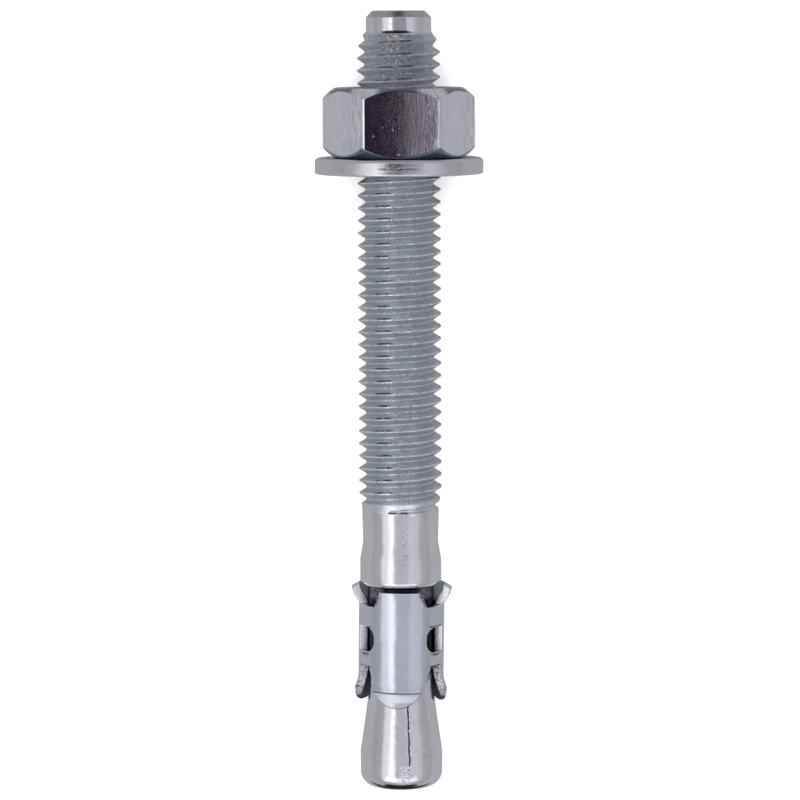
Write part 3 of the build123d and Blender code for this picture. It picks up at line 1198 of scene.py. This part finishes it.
def make_nut_finish():
    """Zinc on the nut: lines drawn down its flats, turned rings on its faces."""
    zinc = Finish("nut_zinc", 0.2, 0.25, nut_across_flats / 2)
    step, times, blend, added, height = zinc.step, zinc.times, zinc.blend, zinc.added, zinc.height
    pits = zinc.pits(0.8, 0.2, 0.46)
    drawn = zinc.group(drawn_lines, zinc.arc, height, 2.6, 0.06)
    hairs = zinc.group(drawn_lines, zinc.arc, height, 6.5, 0.07)
    turned = zinc.group(drawn_lines, zinc.radius, zinc.arc, 3.0, 0.02)
    half = (nut_high - nut_low) / 2
    to_face = zinc.math("ABSOLUTE", zinc.minus(height, nut_low + half))
    on_face = step(to_face, half - 0.3, half - 0.1)

    # The draw die had worn towards one corner of each flat.
    across_flat = zinc.math("FRACT", added(6.5 - nut_turn / 60, (zinc.angle, 1 / 60)))
    coarse = step(across_flat, 0.44, 0.96)
    flecks = step(zinc.grain(3.4, 5.0, 0.72), 0.5, 0.62)
    streaks = zinc.math("MAXIMUM", drawn["Scores"], hairs["Scores"])
    fine_streaks = times(step(hairs["Lines"], 0.50, 0.62), blend(coarse, 0.2, 0.75))
    dark_lines = times(step(hairs["Lines"], 0.48, 0.40), blend(coarse, 0.15, 0.75))

    # Painted shade on the lower crown, and a painted dark band on the upper one over each flat.
    crown_slope = 0.92
    crown_foot = nut_low - crown_slope * (nut_across_flats / 2 - nut_face_margin)
    crown_line = added(crown_foot, (zinc.radius, crown_slope))
    in_shade = step(zinc.minus(height, crown_line), 0.16, 0.04)
    under_crown = zinc.minus(nut_low + nut_high, zinc.math("ADD", height, crown_line))
    painted_crown_shade = times(step(under_crown, 0.16, 0.04), zinc.near(across_flat, 0.46, 0.36, 0.22))

    colour = zinc.coated(
        (0.80, 0.80, 0.83),
        (times(streaks, coarse), 0.7, (0.98, 0.97, 1.0)),
        (fine_streaks, 1, (1.0, 0.99, 1.0)),
        (dark_lines, 1, (0.34, 0.31, 0.38)),
        (pits, 0.7, (0.2, 0.2, 0.23)),
        (in_shade, 0.8, (0.20, 0.25, 0.33)),
        (painted_crown_shade, 0.85, (0.13, 0.13, 0.15)),
    )
    lines = blend(on_face, drawn["Lines"], turned["Lines"])
    dull = added(
        0.05,
        (times(lines, blend(coarse, 0.3, 1.0)), 0.13),
        (zinc.mottle, 0.08),
        (flecks, 0.03),
        (streaks, blend(coarse, 0.02, 0.2)),
    )
    relief = added(
        times(lines, blend(coarse, 0.005, 0.016)),
        (hairs["Lines"], blend(coarse, 0.003, 0.02)),
        (flecks, 0.0012),
        (streaks, times(coarse, -0.006)),
        (pits, -0.02),
    )
    return zinc.complete(colour, dull, relief)


def make_washer_finish():
    """Zinc on the washer: sheared streaks across its rim, scuffs on its faces."""
    zinc = Finish("washer_zinc", 0.15, 0.15, washer_radius)
    step, blend = zinc.step, zinc.blend
    pits = zinc.pits(0.6, 0.2, 0.42)
    sheared = zinc.group(drawn_lines, zinc.height, zinc.arc, 2.2, 0.22)["Lines"]
    scuffs = zinc.group(drawn_lines, zinc.radius, zinc.arc, 2.0, 0.1)["Lines"]
    on_rim = step(zinc.radius, washer_radius - 0.5, washer_radius - 0.1)
    break_line = zinc.times(
        on_rim,
        zinc.band(zinc.height, *(washer_low + rise for rise in (0.95, 1.05, 1.2, 1.3))),
        step(zinc.grain(2.2, 4.0, 0.7), 0.42, 0.5),
        zinc.near(zinc.arc, 0.0, 3.4, 1.8),
    )
    colour = zinc.coated(
        (0.71, 0.70, 0.72), (pits, 0.6, (0.3, 0.31, 0.33)), (break_line, 0.85, (0.10, 0.10, 0.11))
    )
    dull = zinc.added(0.12, (zinc.mottle, 0.16), (on_rim, 0.04))
    relief = zinc.added(
        zinc.times(blend(on_rim, scuffs, sheared), blend(on_rim, 0.01, 0.06)),
        (zinc.mottle, 0.012), (break_line, -0.03), (pits, -0.01),
    )
    return zinc.complete(colour, dull, relief)


def make_clip_finish():
    """Zinc on the clip: smooth sheet, rough sheared edges, a crease with painted shade over each bevel."""
    zinc = Finish("clip_zinc", 0.14, 0.1, clip_middle)
    step, times, blend, added, near = zinc.step, zinc.times, zinc.blend, zinc.added, zinc.near
    minus, height = zinc.minus, zinc.height
    pits = zinc.pits(0.7, 0.2, 0.44)
    lines = zinc.group(drawn_lines, zinc.arc, height, 2.4, 0.06)["Lines"]
    waves = zinc.group(rolled_waves, zinc.point, 0.12, 0.006)["Relief"]
    torn = zinc.grain(3.2, 4.0, 0.7)
    sheared, inside = (
        zinc.node("ShaderNodeAttribute", {}, attribute_name=name).outputs["Fac"]
        for name in ("sheared_edge", "inner_face")
    )
    level = added(height, (zinc.arc, 0.035))
    # A crease over each bevel: a dip in the relief, with painted shade along it.
    crease = times(
        near(level, bevel_top + 0.08, 0.1, 0.03),
        step(zinc.radius, clip_inner + 0.9, clip_inner + 1.2),
    )

    # The front tab's slanted sides were torn off, which left them ragged.
    off_front = zinc.math("ABSOLUTE", minus(zinc.angle, clip_turn))
    tab_share = zinc.math("DIVIDE", minus(height, notch_bottom), front_tab_height)
    tab_side = blend(tab_share, tab_half_angle, tab_tip_half_angle)
    off_side = times(minus(off_front, tab_side), radians(1) * clip_middle)
    ragged_side = times(
        zinc.band(off_side, -0.75, -0.2, 0.3, 0.5),
        step(height, notch_bottom - 0.1, notch_bottom + 0.3),
        step(added(torn, (off_side, 0.35)), 0.36, 0.44),
    )
    on_tongue = step(height, slot_top + 0.6, slot_top + 0.1)
    dents = times(sheared, on_tongue, step(torn, 0.52, 0.6))
    on_bevel = step(level, bevel_top, bevel_top - 0.15)

    # Folds next to the windows and slots, where the narrow bridges were bent round the neck.
    # Each fold is a shallow dip in the relief, with painted shade in the colour.
    off_joint = zinc.math("ABSOLUTE", minus(off_front, segment_pitch / 2))
    hollow = added(-0.75, (times(off_joint, off_joint), 0.0035))
    below_window = minus(height, window_bottom)
    folds_and_painted_shade = times(step(minus(below_window, hollow), -0.1, 0.6), step(below_window, 0.05, -0.1))
    for edge, thickness in ((window_top + 0.06, 0.13), (slot_top + 0.08, 0.12)):
        folds_and_painted_shade = zinc.math("MAXIMUM", folds_and_painted_shade, near(height, edge, thickness, thickness / 2))
    outside = minus(1.0, zinc.math("MAXIMUM", sheared, inside))
    folds_and_painted_shade = times(folds_and_painted_shade, step(off_joint, 15.0, 12.0), step(torn, 0.34, 0.46), outside)

    in_ear = times(inside, step(height, notch_bottom, notch_bottom + 0.3))
    zinc.put(zinc.shader["Metallic"], added(1.0, (in_ear, -0.6)))
    # Painted shade, a mauve-grey darkening low on the middle of each tongue.
    painted_tip_shade = times(
        step(height, clip_low + 1.15, clip_low + 0.75), zinc.lobes(clip_turn + 5.0, 0.74, 0.9)
    )
    # Painted shadow along the sheared edge of each tongue's bevel.
    painted_tip_rim_shadow = times(sheared, on_bevel, zinc.lobes(clip_turn, -0.2, 0.1))
    colour = zinc.coated(
        (0.68, 0.70, 0.75),
        (pits, 0.5, (0.25, 0.27, 0.3)),
        (sheared, 0.7, (0.93, 0.94, 0.95)),
        (dents, 0.85, (0.10, 0.11, 0.13)),
        (ragged_side, 0.8, (0.10, 0.105, 0.12)),
        (inside, 0.9, (0.30, 0.33, 0.41)),
        (in_ear, 0.9, (0.70, 0.80, 0.90)),
        (folds_and_painted_shade, 0.9, (0.05, 0.055, 0.07)),
        (painted_tip_shade, 0.8, (0.40, 0.39, 0.44)),
        (crease, 0.85, (0.06, 0.065, 0.08)),
        (painted_tip_rim_shadow, 0.9, (0.05, 0.055, 0.07)),
    )
    dull = added(
        0.08, (zinc.mottle, 0.16), (sheared, 0.08), (dents, 0.2), (inside, 0.35), (on_bevel, 0.08)
    )
    relief = added(
        times(torn, sheared, blend(on_tongue, 0.05, 0.2)),
        (torn, times(on_bevel, 0.08)),
        (waves, 1.0),
        (folds_and_painted_shade, -0.06),
        (ragged_side, -0.05),
        (lines, 0.005),
        (zinc.mottle, 0.012),
        (crease, -0.05),
    )
    return zinc.complete(colour, dull, relief)


make_stud(make_stud_finish())
make_washer(make_washer_finish())
make_nut(make_nut_finish())
make_clip(make_clip_finish())


# ---------------------------------------------------------------- studio
def own_point(bearing_from_front, distance, height):
    """A point round the anchor, in the row frame, in metres."""
    return laid @ Vector(polar(FRONT + bearing_from_front, distance, height))


def facing(place, target, roll=0.0):
    """The matrix of a light or camera at a place: upright along the axis, facing a target."""
    back = (place - target).normalized()
    axis = (own_point(0, 0, stud_top) - own_point(0, 0, 0)).normalized()
    right = axis.cross(back).normalized()
    turn = Matrix((right, back.cross(right), back)).transposed().to_4x4()
    return Matrix.Translation(place) @ Matrix.Rotation(-roll, 4, back) @ turn


def add_sheet(name, corners, colour, roughness, gloss):
    """A flat sheet of the studio with a plain material, and that material's wires and inputs."""
    mesh = bpy.data.meshes.new(name)
    mesh.from_pydata(corners, [], [(0, 1, 2, 3)])
    material = bpy.data.materials.new(name)
    material.use_nodes = True
    shader = material.node_tree.nodes["Principled BSDF"].inputs
    wires = Wires(material.node_tree)
    wires.put(shader["Base Color"], colour)
    wires.put(shader["Roughness"], roughness)
    wires.put(shader["Specular IOR Level"], gloss)
    mesh.materials.append(material)
    sheet = in_scene(name, mesh)
    return sheet, wires, shader


def make_floor():
    """A plain pale floor that the anchor lies on, painted darker where reflections see it."""
    size = 4.0
    corners = [(-size, -size, 0), (size, -size, 0), (size, size, 0), (-size, size, 0)]
    pale = (0.93, 0.925, 0.90)
    _, wires, shader = add_sheet("floor", corners, pale, 0.9, 0.1)
    mirrored = wires.tree.nodes.new("ShaderNodeLightPath").outputs["Is Glossy Ray"]
    # Painted shade: reflections see the floor darker than the camera does.
    wires.put(shader["Base Color"], wires.blend(mirrored, pale, (0.224, 0.2275, 0.234)))


def add_softbox(name, bearing, rise, distance, width, length, brightness, colour=(1.0, 1.0, 1.0)):
    """A soft rectangular light that faces the anchor's middle.

    The bearing counts from the front, and the rise is the angle towards the struck end.
    """
    data = bpy.data.lights.new(name, "AREA")
    data.shape = "RECTANGLE"
    data.size, data.size_y = width * MILLIMETRE, length * MILLIMETRE
    data.energy = brightness * pi * data.size * data.size_y
    data.color = colour
    light = in_scene(name, data)
    middle = stud_top / 2
    reach, climb = distance * cos(radians(rise)), distance * sin(radians(rise))
    light.matrix_world = facing(own_point(bearing, reach, middle + climb), own_point(0, 0, middle))
    light.visible_camera = False
    return light


def add_dark_card(name, across, depths, heights, shade):
    """A card that gives the plated surfaces something dark to mirror.

    It reaches from one corner of the anchor's own frame to the other, and stays off the floor.
    """
    floor_gap = 0.4 * MILLIMETRE
    (left, right), (near, far), (low, high) = across, depths, heights
    corners = ((left, near, low), (right, near, low), (right, far, high), (left, far, high))
    points = [laid @ Vector(corner) for corner in corners]
    for point in points:
        point.z = max(point.z, floor_gap)
    card, _, _ = add_sheet(name, points, shade, 1.0, 0.0)
    card.visible_camera = card.visible_diffuse = card.visible_shadow = False


def make_camera():
    """The camera is level with the struck end, and looks at the middle of the anchor."""
    stand_off = 550.0            # mm from the axis
    aim_height = 55.2            # mm above the cone end
    pixels_per_millimetre = 7.075
    frame_pixels = 800
    roll = 0.24                  # degrees
    eye = own_point(0, stand_off, stud_top)
    target = own_point(0, 0, aim_height)
    data = bpy.data.cameras.new("camera")
    focal_pixels = pixels_per_millimetre * (eye - target).length / MILLIMETRE
    data.lens = data.sensor_width * focal_pixels / frame_pixels
    data.clip_start = 0.01
    camera = in_scene("camera", data)
    camera.matrix_world = facing(eye, target, radians(roll))
    bpy.context.scene.camera = camera


def make_world():
    """A pale studio, brightest overhead and dimmer towards the floor."""
    world = bpy.data.worlds.new("studio")
    bpy.context.scene.world = world
    world.use_nodes = True
    wires = Wires(world.node_tree)
    around_us = wires.tree.nodes.new("ShaderNodeTexCoord").outputs["Generated"]
    rise = wires.node("ShaderNodeSeparateXYZ", {"Vector": around_us}).outputs["Z"]
    sky = wires.blend(wires.step(rise, 0.1, 1.0), (0.42, 0.43, 0.45), (0.56, 0.555, 0.63))
    wires.put(wires.tree.nodes["Background"].inputs["Color"], sky)


make_floor()
make_world()
add_softbox("key_wide", -38, -6, 600, 380, 1000, 0.40, (1.0, 1.0, 0.96))
add_softbox("key_narrow", -27, -6, 600, 170, 1000, 0.38, (1.0, 1.0, 0.97))
add_softbox("fill_light", 40, -6, 650, 440, 1000, 0.13, (0.93, 0.98, 1.0))
add_softbox("foot_light", 0, -41, 650, 1100, 390, 0.5)
add_softbox("top_light", 0, 0, 900, 900, 900, 6.0).visible_glossy = False
add_dark_card("lens", (-22, 6.3), (-61, -61), (78, 107), (0.009, 0.006, 0.011))
add_dark_card("camera_body", (-20, 34), (-62, -62), (78, 130), (0.205, 0.19, 0.213))
add_dark_card("foot_card", (-26, 24), (20, -16), (-45, -45.001), (0.01, 0.01, 0.01))
add_dark_card("foot_mat", (-18, 14), (20, 20), (-45, -11), (0.01, 0.01, 0.01))
add_dark_card("head_card", (-29, 29), (20, -45), (260, 260.001), (0.05, 0.04, 0.045))
make_camera()
bpy.context.scene.view_settings.view_transform = "Standard"
